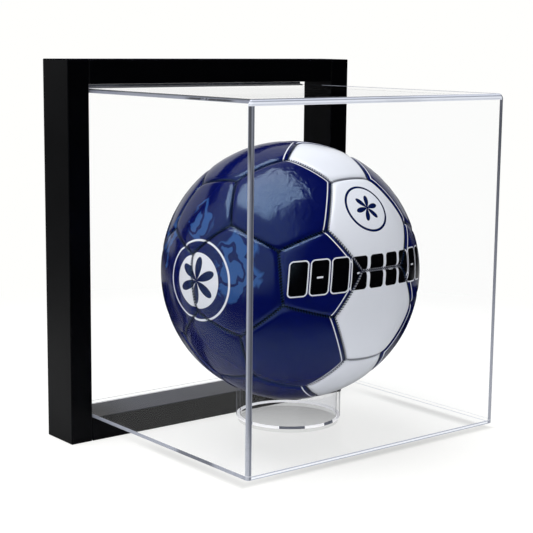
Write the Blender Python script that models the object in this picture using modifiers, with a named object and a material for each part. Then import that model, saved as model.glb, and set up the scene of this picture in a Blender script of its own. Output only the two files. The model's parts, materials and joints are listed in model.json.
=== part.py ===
# Wall display case for a football: a black frame carries a clear case that stands out in front of it,
# and the ball sits on a clear ring on the floor of the case.
# Lengths are metres. +X is the viewer's right, -Y points out of the wall and +Z is up. The origin is in the
# wall's plane, at the middle of the top rail's back face.

import math

import bmesh
import bpy
from mathutils import Matrix, Vector

# Clearances
JOINT_GAP = 0.0003
CUT_OVERRUN = 0.002
WELD_DISTANCE = 0.00001

# Angles and limits that all pieces share
SHARP_ANGLE = math.radians(35)
CHAMFER_ANGLE = math.radians(40)
QUARTER_TURN = math.radians(90)
ROUND_PROFILE_SHARE = 0.5
SAME_WAY_SHARE = 0.99

# Frame
FRAME_DEPTH = 0.040
RAIL_FACE = 0.0205
RAIL_CHAMFER = 0.0006

# Corner dowels
DOWEL_RADIUS = 0.003
DOWEL_LENGTH = 0.028
DOWEL_IN_STILE = 0.012
DOWEL_CHAMFER = 0.0006
DOWEL_DEPTH_SHARES = {"front": 0.7, "back": 0.3}
DOWEL_SIDES = 16

# Keyhole hangers in the back of the top rail, and their screws
HANGER_FROM_STILE = 0.048
HANGER_WIDTH = 0.038
HANGER_HEIGHT = 0.0165
HANGER_THICKNESS = 0.002
HANGER_CORNER = 0.003
HANGER_CORNER_SEGMENTS = 4
KEYHOLE_HEAD_RADIUS = 0.0038
KEYHOLE_SLOT_WIDTH = 0.0042
KEYHOLE_RISE = 0.0058
POCKET_DEPTH = 0.007
POCKET_MARGIN = 0.001
SCREW_FROM_PLATE_END = 0.005
SCREW_LENGTH = 0.012
SCREW_SHANK_RADIUS = 0.0013
SCREW_HEAD_RADIUS = 0.0027
SCREW_HEAD_HEIGHT = 0.0013
SCREW_TIP = 0.002
DRIVE_WIDTH = 0.0006
DRIVE_LENGTH = 0.0032
DRIVE_DEPTH = 0.0006
ROUND_SIDES = 20

# Clear case
SHEET = 0.0030
CASE_SIDE_FIT = 0.0004
CASE_TOP_FIT = 0.0032
CASE_BACK_SETBACK = 0.0005
BEND_RADIUS = 0.006
BEND_SEGMENTS = 6

# Ring stand
RING_RADIUS = 0.0445
RING_WALL = 0.003
RING_HEIGHT = 0.0246
RING_CHAMFER = 0.0004
RING_SEAT_CHAMFER = 0.0010
RING_SIDES = 48

# Ball
BALL_RADIUS = 0.110
BALL_FRONT_CLEARANCE = 0.001
BALL_BACK_ROOM = 0.0325
BALL_SIDE_ROOM = 0.0196
BALL_HEAD_ROOM = 0.0378
PANEL_THICKNESS = 0.004
SEAM_DEPTH = 0.0018
SHOULDER_DEPTH = 0.0002
PANEL_SEGMENTS = 3
PENTAGON_SHARE = 0.325
BAND_HALF_WIDTH_SHARE = 0.05
NEIGHBOUR_SHARE = 0.4
SORT_STEPS = 1000
BALL_AZIMUTH = math.radians(-27.5)
BALL_TILT = math.radians(82.8)
BALL_SPIN = math.radians(4.0)
BLADDER_GAP = 0.0006
BLADDER_WALL = 0.0014
BLADDER_STEPS = 24
BLADDER_ARC_POINTS = 13
VALVE_RADIUS = 0.004
VALVE_FLANGE_RADIUS = 0.0065
VALVE_FLANGE_THICKNESS = 0.0012
VALVE_FLANGE_GAP = 0.0009
VALVE_BORE_RADIUS = 0.0008
VALVE_RECESS = 0.0005
VALVE_CHAMFER = 0.0004

# Places that follow from the sizes above: the ball and the room round it set the case's size, and the case
# sets the frame's.
RING_INNER_RADIUS = RING_RADIUS - RING_WALL
SEAT_RADIUS = RING_INNER_RADIUS + RING_SEAT_CHAMFER
BALL_OVER_RING = math.sqrt((BALL_RADIUS + JOINT_GAP) ** 2 - SEAT_RADIUS**2)
CASE_HALF_WIDTH = BALL_RADIUS + BALL_SIDE_ROOM + SHEET
CASE_DEPTH = SHEET + BALL_FRONT_CLEARANCE + 2 * BALL_RADIUS + BALL_BACK_ROOM
CASE_LENGTH = CASE_DEPTH - CASE_BACK_SETBACK
FRAME_TOP = RAIL_FACE / 2
CASE_TOP = FRAME_TOP - RAIL_FACE - CASE_TOP_FIT
BALL_Y = -BALL_BACK_ROOM - BALL_RADIUS
BALL_Z = CASE_TOP - SHEET - BALL_HEAD_ROOM - BALL_RADIUS
RING_TOP = BALL_Z - BALL_OVER_RING
RING_BOTTOM = RING_TOP - RING_HEIGHT
CASE_FLOOR = RING_BOTTOM - JOINT_GAP
CASE_BOTTOM = CASE_FLOOR - SHEET
OPENING_HALF_WIDTH = CASE_HALF_WIDTH + CASE_SIDE_FIT
FRAME_BOTTOM = CASE_BOTTOM - JOINT_GAP - RAIL_FACE
FRAME_HEIGHT = FRAME_TOP - FRAME_BOTTOM
HANGER_OFFSET = OPENING_HALF_WIDTH - HANGER_FROM_STILE
SCREW_SPREAD = HANGER_WIDTH / 2 - SCREW_FROM_PLATE_END
BLADDER_RADIUS = BALL_RADIUS - SEAM_DEPTH - PANEL_THICKNESS - BLADDER_GAP
VALVE_HOLE_RADIUS = VALVE_RADIUS + JOINT_GAP

MATERIALS = {
    "black_lacquer": {"color": (0.012, 0.012, 0.014), "roughness": 0.35, "metallic": 0.0},
    "clear_acrylic": {"color": (0.86, 0.90, 0.96), "roughness": 0.05, "metallic": 0.0, "alpha": 0.25},
    "zinc_steel": {"color": (0.62, 0.63, 0.65), "roughness": 0.3, "metallic": 1.0},
    "beech": {"color": (0.64, 0.46, 0.29), "roughness": 0.7, "metallic": 0.0},
    "navy_panel": {"color": (0.012, 0.020, 0.130), "roughness": 0.25, "metallic": 0.0},
    "white_panel": {"color": (0.78, 0.79, 0.84), "roughness": 0.25, "metallic": 0.0},
    "bladder_rubber": {"color": (0.03, 0.03, 0.03), "roughness": 0.6, "metallic": 0.0},
    "valve_rubber": {"color": (0.09, 0.09, 0.10), "roughness": 0.5, "metallic": 0.0},
}


def clear_scene():
    for item in list(bpy.data.objects):
        bpy.data.objects.remove(item, do_unlink=True)


def new_collection(name):
    collection = bpy.data.collections.new(name)
    bpy.context.scene.collection.children.link(collection)
    return collection


def material(name):
    found = bpy.data.materials.get(name)
    if found:
        return found
    look = MATERIALS[name]
    made = bpy.data.materials.new(name)
    made.use_nodes = True
    shader = made.node_tree.nodes["Principled BSDF"]
    shader.inputs["Base Color"].default_value = (*look["color"], 1)
    shader.inputs["Roughness"].default_value = look["roughness"]
    shader.inputs["Metallic"].default_value = look["metallic"]
    shader.inputs["Alpha"].default_value = look.get("alpha", 1)
    return made


def empty(name, location):
    item = bpy.data.objects.new(name, None)
    item.location = location
    part.objects.link(item)
    return item


def add_object(name, mesh, look, location=(0, 0, 0), parent=None):
    item = bpy.data.objects.new(name, mesh)
    mesh.materials.append(material(look))
    part.objects.link(item)
    item.location = Vector(location)
    if parent:
        item.parent = parent
        item.location -= parent.location
    return item


def mesh_from(bm, name):
    mesh = bpy.data.meshes.new(name)
    bm.to_mesh(mesh)
    bm.free()
    return mesh


def smooth_round(mesh):
    mesh.shade_smooth()
    mesh.set_sharp_from_angle(angle=SHARP_ANGLE)


# A box centred on its own origin, with size along X, Y and Z.
def box_mesh(name, size):
    bm = bmesh.new()
    bmesh.ops.create_cube(bm, size=1)
    bmesh.ops.scale(bm, vec=Vector(size), verts=bm.verts)
    return mesh_from(bm, name)


# A cylinder along its own Z axis, centred on its origin.
def cylinder_mesh(name, radius, length, sides=ROUND_SIDES, tip_radius=None):
    bm = bmesh.new()
    bmesh.ops.create_cone(
        bm,
        cap_ends=True,
        segments=sides,
        radius1=radius,
        radius2=radius if tip_radius is None else tip_radius,
        depth=length,
    )
    mesh = mesh_from(bm, name)
    smooth_round(mesh)
    return mesh


# A ring or pin turned about Z: the profile is a closed outline of (radius, height) points.
def turned_object(name, profile, look, steps, location=(0, 0, 0), parent=None, closed=True):
    mesh = bpy.data.meshes.new(name)
    points = [(radius, 0, height) for radius, height in profile]
    edges = [(i, i + 1) for i in range(len(points) - 1)]
    if closed:
        edges.append((len(points) - 1, 0))
    mesh.from_pydata(points, edges, [])
    item = add_object(name, mesh, look, location, parent)
    screw = item.modifiers.new("turn", "SCREW")
    screw.steps = steps
    screw.render_steps = steps
    screw.use_merge_vertices = True
    screw.merge_threshold = WELD_DISTANCE
    screw.use_smooth_shade = True
    return item


def add_chamfer(item, width):
    bevel = item.modifiers.new("chamfer", "BEVEL")
    bevel.width = width
    bevel.segments = 1
    bevel.limit_method = "ANGLE"
    bevel.angle_limit = CHAMFER_ANGLE


def cut(item, name, mesh, location, rotation=None):
    cutter = bpy.data.objects.new(name, mesh)
    cutters.objects.link(cutter)
    turn = rotation.to_4x4() if rotation else Matrix.Identity(4)
    cutter.matrix_world = Matrix.Translation(location) @ turn
    cutter.hide_render = True
    cutter.display_type = "WIRE"
    boolean = item.modifiers.new(name, "BOOLEAN")
    boolean.operation = "DIFFERENCE"
    boolean.solver = "EXACT"
    boolean.object = cutter


# Turns that lay a shape made along Z along +X and along +Y
ALONG_X = Matrix.Rotation(QUARTER_TURN, 3, "Y")
ALONG_Y = Matrix.Rotation(-QUARTER_TURN, 3, "X")


def build_rail(name, size, location):
    rail = add_object(name, box_mesh(name, size), "black_lacquer", location)
    add_chamfer(rail, RAIL_CHAMFER)
    return rail


def build_frame():
    stile_size = (RAIL_FACE, FRAME_DEPTH, FRAME_HEIGHT)
    rail_size = (2 * (OPENING_HALF_WIDTH - JOINT_GAP), FRAME_DEPTH, RAIL_FACE)
    stile_x = OPENING_HALF_WIDTH + RAIL_FACE / 2
    middle_y = -FRAME_DEPTH / 2
    middle_z = FRAME_TOP - FRAME_HEIGHT / 2
    rail_heights = {"top": FRAME_TOP - RAIL_FACE / 2, "bottom": FRAME_BOTTOM + RAIL_FACE / 2}
    stiles = {
        "left": build_rail("left_stile", stile_size, (-stile_x, middle_y, middle_z)),
        "right": build_rail("right_stile", stile_size, (stile_x, middle_y, middle_z)),
    }
    rails = {
        level: build_rail(f"{level}_rail", rail_size, (0, middle_y, height))
        for level, height in rail_heights.items()
    }
    for side, sign in (("left", -1), ("right", 1)):
        for level, height in rail_heights.items():
            for row, share in DOWEL_DEPTH_SHARES.items():
                place = Vector((0, -FRAME_DEPTH * share, height))
                build_dowel(f"{level}_{side}_{row}", sign, place, stiles[side], rails[level])
    for side, sign in (("left", -1), ("right", 1)):
        build_hanger(side, sign * HANGER_OFFSET, rails["top"])


# A dowel lies across the joint between a stile and a rail, in a blind hole in each.
def build_dowel(label, sign, place, stile, rail):
    centre_reach = OPENING_HALF_WIDTH + DOWEL_IN_STILE - DOWEL_LENGTH / 2
    centre = place + Vector((sign * centre_reach, 0, 0))
    dowel = add_object(
        f"dowel_{label}",
        cylinder_mesh(f"dowel_{label}", DOWEL_RADIUS, DOWEL_LENGTH, DOWEL_SIDES),
        "beech",
        centre,
    )
    dowel.rotation_euler = ALONG_X.to_euler()
    add_chamfer(dowel, DOWEL_CHAMFER)
    hole_radius = DOWEL_RADIUS + JOINT_GAP
    stile_hole = 2 * (DOWEL_IN_STILE + JOINT_GAP)
    rail_hole = 2 * (DOWEL_LENGTH - DOWEL_IN_STILE + JOINT_GAP)
    mouth = place + Vector((sign * OPENING_HALF_WIDTH, 0, 0))
    for owner, length in ((stile, stile_hole), (rail, rail_hole)):
        name = f"{owner.name}_hole_{label}"
        hole = cylinder_mesh(name, hole_radius, length, DOWEL_SIDES)
        cut(owner, name, hole, mouth, ALONG_X)


# A keyhole outline in the XZ plane: a round hole for a screw's head with a slot that rises from it.
def keyhole_mesh(name, head_radius, slot_width, rise, depth):
    curve = bpy.data.curves.new(name, "CURVE")
    curve.dimensions = "2D"
    curve.fill_mode = "BOTH"
    curve.extrude = depth / 2
    half = slot_width / 2
    start = math.asin(half / head_radius)
    turns = [start + (2 * math.pi - 2 * start) * i / ROUND_SIDES for i in range(ROUND_SIDES + 1)]
    outline = [(-head_radius * math.sin(a), head_radius * math.cos(a)) for a in turns]
    half_turn = ROUND_SIDES // 2
    for i in range(half_turn + 1):
        a = math.pi * i / half_turn
        outline.append((half * math.cos(a), rise + half * math.sin(a)))
    spline = curve.splines.new("POLY")
    spline.points.add(len(outline) - 1)
    for point, (x, y) in zip(spline.points, outline):
        point.co = (x, y, 0, 1)
    spline.use_cyclic_u = True
    source = bpy.data.objects.new(name, curve)
    cutters.objects.link(source)
    graph = bpy.context.evaluated_depsgraph_get()
    mesh = bpy.data.meshes.new_from_object(source.evaluated_get(graph))
    bpy.data.objects.remove(source, do_unlink=True)
    bm = bmesh.new()
    bm.from_mesh(mesh)
    bmesh.ops.remove_doubles(bm, verts=bm.verts, dist=WELD_DISTANCE)
    bmesh.ops.rotate(bm, matrix=Matrix.Rotation(QUARTER_TURN, 3, "X"), verts=bm.verts)
    bmesh.ops.recalc_face_normals(bm, faces=bm.faces)
    bm.to_mesh(mesh)
    bm.free()
    return mesh


def build_hanger(side, x, rail):
    middle_z = FRAME_TOP - RAIL_FACE / 2
    plate_y = -HANGER_THICKNESS / 2
    keyhole_z = middle_z - KEYHOLE_RISE / 2
    name = f"hanger_{side}"
    plate_size = (HANGER_WIDTH, HANGER_THICKNESS, HANGER_HEIGHT)
    plate = add_object(name, box_mesh(name, plate_size), "zinc_steel", (x, plate_y, middle_z))
    round_upright_corners(plate.data, HANGER_CORNER)
    slot = keyhole_mesh(
        f"{name}_keyhole",
        KEYHOLE_HEAD_RADIUS,
        KEYHOLE_SLOT_WIDTH,
        KEYHOLE_RISE,
        HANGER_THICKNESS + 2 * CUT_OVERRUN,
    )
    cut(plate, f"{name}_keyhole", slot, Vector((x, plate_y, keyhole_z)))

    recess_size = (
        HANGER_WIDTH + 2 * JOINT_GAP,
        2 * (HANGER_THICKNESS + JOINT_GAP),
        HANGER_HEIGHT + 2 * JOINT_GAP,
    )
    recess = box_mesh(f"{rail.name}_recess_{side}", recess_size)
    cut(rail, f"{rail.name}_recess_{side}", recess, Vector((x, 0, middle_z)))
    pocket_width = 2 * (KEYHOLE_HEAD_RADIUS + POCKET_MARGIN)
    pocket_height = KEYHOLE_RISE + pocket_width
    pocket = box_mesh(f"{rail.name}_pocket_{side}", (pocket_width, 2 * POCKET_DEPTH, pocket_height))
    cut(rail, f"{rail.name}_pocket_{side}", pocket, Vector((x, 0, middle_z)))

    for end, sign in (("outer", 1), ("inner", -1)):
        screw_x = x + sign * math.copysign(SCREW_SPREAD, x)
        build_screw(f"hanger_screw_{side}_{end}", Vector((screw_x, 0, middle_z)), plate, rail)


# Rounds the four edges of a plate that run along its thickness, the Y axis.
def round_upright_corners(mesh, radius):
    bm = bmesh.new()
    bm.from_mesh(mesh)
    corners = [edge for edge in bm.edges if edge_runs_along(edge, 1)]
    bmesh.ops.bevel(
        bm,
        geom=corners,
        offset=radius,
        segments=HANGER_CORNER_SEGMENTS,
        profile=ROUND_PROFILE_SHARE,
        affect="EDGES",
    )
    bm.to_mesh(mesh)
    bm.free()


def edge_runs_along(edge, axis):
    span = edge.verts[1].co - edge.verts[0].co
    return abs(span[axis]) > SAME_WAY_SHARE * span.length


# A countersunk wood screw driven into the rail, with its head in the plate.
def build_screw(name, mouth, plate, rail):
    head_y = -JOINT_GAP
    profile = [
        (0, head_y - SCREW_LENGTH),
        (SCREW_SHANK_RADIUS, head_y - SCREW_LENGTH + SCREW_TIP),
        (SCREW_SHANK_RADIUS, head_y - SCREW_HEAD_HEIGHT),
        (SCREW_HEAD_RADIUS, head_y),
        (0, head_y),
    ]
    profile.reverse()
    screw = turned_object(name, profile, "zinc_steel", ROUND_SIDES, mouth, closed=False)
    screw.rotation_euler = ALONG_Y.to_euler()
    drive = box_mesh(f"{name}_drive", (DRIVE_LENGTH, 2 * DRIVE_DEPTH, DRIVE_WIDTH))
    cut(screw, f"{name}_drive", drive, mouth + Vector((0, head_y, 0)))
    cross = box_mesh(f"{name}_cross", (DRIVE_WIDTH, 2 * DRIVE_DEPTH, DRIVE_LENGTH))
    cut(screw, f"{name}_cross", cross, mouth + Vector((0, head_y, 0)))

    sink_reach = SCREW_HEAD_HEIGHT + JOINT_GAP
    slope = (SCREW_HEAD_RADIUS - SCREW_SHANK_RADIUS) / SCREW_HEAD_HEIGHT
    narrow = SCREW_SHANK_RADIUS + JOINT_GAP
    wide = narrow + slope * (sink_reach + CUT_OVERRUN)
    sink = cylinder_mesh(f"{name}_sink", narrow, sink_reach + CUT_OVERRUN, tip_radius=wide)
    sink_y = (CUT_OVERRUN - sink_reach) / 2
    cut(plate, f"{name}_sink", sink, mouth + Vector((0, sink_y, 0)), ALONG_Y)
    through = cylinder_mesh(f"{name}_hole", narrow, 2 * (HANGER_THICKNESS + CUT_OVERRUN))
    cut(plate, f"{name}_hole", through, mouth, ALONG_Y)
    pilot = cylinder_mesh(f"{name}_pilot", narrow, 2 * (SCREW_LENGTH + 2 * JOINT_GAP))
    cut(rail, f"{name}_pilot", pilot, mouth, ALONG_Y)


def build_case():
    pivot = empty("case_pivot", (0, 0, CASE_BOTTOM))
    wrap_height = CASE_TOP - CASE_FLOOR - SHEET - 2 * JOINT_GAP
    middle_y = -CASE_BACK_SETBACK - CASE_LENGTH / 2
    wrap_z = CASE_FLOOR + JOINT_GAP + wrap_height / 2

    bm = bmesh.new()
    bmesh.ops.create_cube(bm, size=1)
    bm.normal_update()
    unwanted = [
        face
        for face in bm.faces
        if face.normal.y > SAME_WAY_SHARE or abs(face.normal.z) > SAME_WAY_SHARE
    ]
    bmesh.ops.delete(bm, geom=unwanted, context="FACES")
    bmesh.ops.scale(bm, vec=(2 * CASE_HALF_WIDTH, CASE_LENGTH, wrap_height), verts=bm.verts)
    bend_front_edges(bm)
    wrap = add_object(
        "case_wrap", mesh_from(bm, "case_wrap"), "clear_acrylic", (0, middle_y, wrap_z), pivot
    )
    shell = wrap.modifiers.new("sheet", "SOLIDIFY")
    shell.thickness = SHEET
    shell.offset = -1
    shell.use_even_offset = True

    for name, z in (("case_top", CASE_TOP - SHEET / 2), ("case_floor", CASE_BOTTOM + SHEET / 2)):
        bm = bmesh.new()
        bmesh.ops.create_cube(bm, size=1)
        bmesh.ops.scale(bm, vec=(2 * CASE_HALF_WIDTH, CASE_LENGTH, SHEET), verts=bm.verts)
        bend_front_edges(bm)
        add_object(name, mesh_from(bm, name), "clear_acrylic", (0, middle_y, z), pivot)
    return pivot


# The case's two upright front edges are bends of the sheet, and its top and floor follow their outline.
def bend_front_edges(bm):
    bends = [
        edge
        for edge in bm.edges
        if edge_runs_along(edge, 2) and edge.verts[0].co.y < 0 and edge.verts[1].co.y < 0
    ]
    bmesh.ops.bevel(
        bm,
        geom=bends,
        offset=BEND_RADIUS,
        segments=BEND_SEGMENTS,
        profile=ROUND_PROFILE_SHARE,
        affect="EDGES",
    )


def build_ring(case):
    inner = RING_INNER_RADIUS
    profile = [
        (SEAT_RADIUS, RING_HEIGHT),
        (RING_RADIUS - RING_CHAMFER, RING_HEIGHT),
        (RING_RADIUS, RING_HEIGHT - RING_CHAMFER),
        (RING_RADIUS, RING_CHAMFER),
        (RING_RADIUS - RING_CHAMFER, 0),
        (inner + RING_CHAMFER, 0),
        (inner, RING_CHAMFER),
        (inner, RING_HEIGHT - RING_SEAT_CHAMFER),
    ]
    ring = turned_object(
        "ring_stand", profile, "clear_acrylic", RING_SIDES, (0, BALL_Y, RING_BOTTOM), case
    )
    return ring


# The ball's turn: it carries the icosphere's top corner to the middle of the panel that faces the viewer.
def ball_turn():
    return (
        Matrix.Rotation(BALL_AZIMUTH, 3, "Z")
        @ Matrix.Rotation(BALL_TILT, 3, "X")
        @ Matrix.Rotation(BALL_SPIN, 3, "Z")
    )


# A truncated icosahedron of unit radius: an icosphere whose corners are cut off where the pentagons go.
def panel_net():
    bm = bmesh.new()
    bmesh.ops.create_icosphere(bm, subdivisions=1, radius=1)
    bmesh.ops.bevel(
        bm,
        geom=bm.verts[:],
        offset=100 * PENTAGON_SHARE,
        offset_type="PERCENT",
        affect="VERTICES",
        segments=1,
    )
    bmesh.ops.rotate(bm, matrix=ball_turn(), verts=bm.verts)
    for vert in bm.verts:
        vert.co.normalize()
    return bm


def panel_middles(net):
    middles = {5: [], 6: []}
    for face in net.faces:
        middles[len(face.verts)].append(face.calc_center_median().normalized())
    for found in middles.values():
        found.sort(key=lambda middle: (-round(middle.z * SORT_STEPS), round(middle.x * SORT_STEPS)))
    return middles


# One stitched panel: its face of the net is drawn in by half the seam, then puffed onto the sphere with its
# rim turned down into the seam.
def panel_mesh(name, net, middle):
    bm = net.copy()
    others = [
        face
        for face in bm.faces
        if face.calc_center_median().normalized().dot(middle) < SAME_WAY_SHARE
    ]
    bmesh.ops.delete(bm, geom=others, context="FACES")
    centre = next(iter(bm.faces)).calc_center_median()
    reach = min((edge.verts[0].co + edge.verts[1].co - 2 * centre).length / 2 for edge in bm.edges)
    drawn_in = 1 - JOINT_GAP / 2 / (reach * BALL_RADIUS)
    inward = Matrix.Translation(centre) @ Matrix.Scale(drawn_in, 4) @ Matrix.Translation(-centre)
    bmesh.ops.transform(bm, matrix=inward, verts=bm.verts)
    bmesh.ops.poke(bm, faces=bm.faces[:])
    bmesh.ops.subdivide_edges(bm, edges=bm.edges[:], cuts=PANEL_SEGMENTS - 1, use_grid_fill=True)
    rim = {vert for vert in bm.verts if vert.is_boundary}
    shoulder = {edge.other_vert(vert) for vert in rim for edge in vert.link_edges} - rim
    for vert in bm.verts:
        depth = SEAM_DEPTH if vert in rim else SHOULDER_DEPTH if vert in shoulder else 0
        vert.co = vert.co.normalized() * (BALL_RADIUS - depth)
    bm.normal_update()
    mesh = mesh_from(bm, name)
    smooth_round(mesh)
    return mesh


def build_ball(ring):
    centre = Vector((0, BALL_Y, BALL_Z))
    pivot = empty("ball_pivot", centre)
    pivot.parent = ring
    pivot.location = centre - Vector((0, BALL_Y, RING_BOTTOM))
    net = panel_net()
    middles = panel_middles(net)
    band = band_axis(middles[5])
    # The valve is in the panel opposite the one that faces the viewer.
    valve_way = ball_turn() @ Vector((0, 0, -1))
    panels = {}
    for count, label in ((5, "pentagon"), (6, "hexagon")):
        for number, middle in enumerate(middles[count], start=1):
            name = f"ball_{label}_{number:02d}"
            look = "white_panel" if abs(middle.dot(band)) < BAND_HALF_WIDTH_SHARE else "navy_panel"
            panel = add_object(name, panel_mesh(name, net, middle), look)
            panel.parent = pivot
            shell = panel.modifiers.new("thickness", "SOLIDIFY")
            shell.thickness = PANEL_THICKNESS
            shell.offset = -1
            panels[name] = (panel, middle)
    net.free()
    build_bladder(pivot, centre, valve_way)
    holed = max(panels.values(), key=lambda entry: entry[1].dot(valve_way))[0]
    hole = cylinder_mesh("valve_hole", VALVE_HOLE_RADIUS, BALL_RADIUS, DOWEL_SIDES)
    turn = valve_way.to_track_quat("Z", "Y").to_matrix()
    cut(holed, "valve_hole", hole, centre + valve_way * BALL_RADIUS, turn)


# The white band of panels runs round the ball square to this axis, which leaves through the seam between
# two pentagons that lies nearest the viewer's right.
def band_axis(pentagons):
    seams = [
        (one + other).normalized()
        for one in pentagons
        for other in pentagons
        if NEIGHBOUR_SHARE < one.dot(other) < 1 - NEIGHBOUR_SHARE
    ]
    return max(seams, key=lambda way: way.x)


def build_bladder(pivot, centre, valve_way):
    start = math.asin(VALVE_HOLE_RADIUS / BLADDER_RADIUS)
    count = BLADDER_ARC_POINTS - 1
    profile = []
    for i in range(BLADDER_ARC_POINTS):
        angle = start + (math.pi - start) * i / count
        radius = BLADDER_RADIUS * math.sin(angle) if i < count else 0
        profile.append((radius, BLADDER_RADIUS * math.cos(angle)))
    bladder = turned_object("ball_bladder", profile, "bladder_rubber", BLADDER_STEPS, closed=False)
    turn = valve_way.to_track_quat("Z", "Y")
    bladder.parent = pivot
    bladder.rotation_euler = turn.to_euler()
    shell = bladder.modifiers.new("wall", "SOLIDIFY")
    shell.thickness = BLADDER_WALL
    shell.offset = -1

    flange_top = BLADDER_RADIUS - BLADDER_WALL - VALVE_FLANGE_GAP
    flange_bottom = flange_top - VALVE_FLANGE_THICKNESS
    valve_top = BALL_RADIUS - VALVE_RECESS
    valve_profile = [
        (VALVE_BORE_RADIUS, valve_top),
        (VALVE_RADIUS - VALVE_CHAMFER, valve_top),
        (VALVE_RADIUS, valve_top - VALVE_CHAMFER),
        (VALVE_RADIUS, flange_top),
        (VALVE_FLANGE_RADIUS, flange_top),
        (VALVE_FLANGE_RADIUS, flange_bottom),
        (VALVE_BORE_RADIUS, flange_bottom),
    ]
    valve = turned_object("ball_valve", valve_profile, "valve_rubber", ROUND_SIDES)
    valve.parent = pivot
    valve.rotation_euler = turn.to_euler()


clear_scene()
part = new_collection("ball_display_case")
cutters = new_collection("cutters")
build_frame()
case_pivot = build_case()
ring_stand = build_ring(case_pivot)
build_ball(ring_stand)
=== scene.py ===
# Looks of a wall display case for a football. Metres, +X to the viewer's right, -Y out of the wall, +Z up.

import json
import math

import bmesh
import bpy
from mathutils import Matrix, Vector


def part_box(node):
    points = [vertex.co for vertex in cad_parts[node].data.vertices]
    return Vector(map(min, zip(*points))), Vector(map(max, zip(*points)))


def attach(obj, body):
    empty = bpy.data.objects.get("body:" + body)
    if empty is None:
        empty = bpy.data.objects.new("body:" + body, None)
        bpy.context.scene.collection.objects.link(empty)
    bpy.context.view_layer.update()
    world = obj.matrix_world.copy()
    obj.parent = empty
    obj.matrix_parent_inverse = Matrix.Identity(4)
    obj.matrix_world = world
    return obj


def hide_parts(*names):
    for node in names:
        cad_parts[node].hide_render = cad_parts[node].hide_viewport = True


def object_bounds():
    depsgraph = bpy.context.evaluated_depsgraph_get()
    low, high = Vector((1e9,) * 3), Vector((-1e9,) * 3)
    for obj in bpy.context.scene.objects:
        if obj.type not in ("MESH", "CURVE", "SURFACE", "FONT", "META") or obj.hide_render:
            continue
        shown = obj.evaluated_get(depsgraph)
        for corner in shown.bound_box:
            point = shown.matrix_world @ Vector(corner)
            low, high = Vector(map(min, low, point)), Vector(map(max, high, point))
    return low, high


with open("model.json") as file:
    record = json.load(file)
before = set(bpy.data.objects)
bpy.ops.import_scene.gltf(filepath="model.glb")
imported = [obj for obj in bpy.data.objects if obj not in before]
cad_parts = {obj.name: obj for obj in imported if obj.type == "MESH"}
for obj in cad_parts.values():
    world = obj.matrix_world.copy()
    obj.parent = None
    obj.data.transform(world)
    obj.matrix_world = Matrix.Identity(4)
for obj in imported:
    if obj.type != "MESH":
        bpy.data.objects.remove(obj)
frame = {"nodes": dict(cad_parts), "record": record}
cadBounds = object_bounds()
nodes = frame["nodes"]
slotOf = {entry["node"]: entry["material_slot"] for entry in frame["record"]["subparts"]}
print("frame loaded:", len(nodes), "nodes")


# Shader helpers

# A socket that does arithmetic: each operator adds a Math node.
class Wire:
    def __init__(self, graph, socket):
        self.graph = graph
        self.socket = socket

    def math(self, operation, *others):
        made = self.graph.node("ShaderNodeMath", {"operation": operation})
        for slot, value in zip(made.node.inputs, (self, *others)):
            self.graph.feed(slot, value)
        return made["Value"]

    def __add__(self, other):
        return self.math("ADD", other)

    def __mul__(self, other):
        return self.math("MULTIPLY", other)

    def __sub__(self, other):
        return self.math("SUBTRACT", other)

    def __neg__(self):
        return self * -1

    def __rsub__(self, other):
        return -self + other

    def __truediv__(self, other):
        return self.math("DIVIDE", other)

    __radd__ = __add__
    __rmul__ = __mul__

    def below(self, limit):
        return self.math("LESS_THAN", limit)

    def above(self, limit):
        return self.math("GREATER_THAN", limit)

    def smallest(self, other):
        return self.math("MINIMUM", other)

    def largest(self, other):
        return self.math("MAXIMUM", other)

    def absolute(self):
        return self.math("ABSOLUTE")

    # 0 under low, 1 over high, smooth in between
    def ramp(self, low, high):
        made = self.graph.node(
            "ShaderNodeMapRange",
            {"interpolation_type": "SMOOTHSTEP"},
            {"Value": self, "From Min": low, "From Max": high},
        )
        return made["Result"]

    # 1 under the limit and 0 over it, smooth as far as soft says to either side
    def under(self, limit, soft):
        return 1 - self.ramp(limit - soft, limit + soft)


class Made:
    def __init__(self, graph, node):
        self.graph = graph
        self.node = node

    def __getitem__(self, name):
        return Wire(self.graph, self.node.outputs[name])


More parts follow.
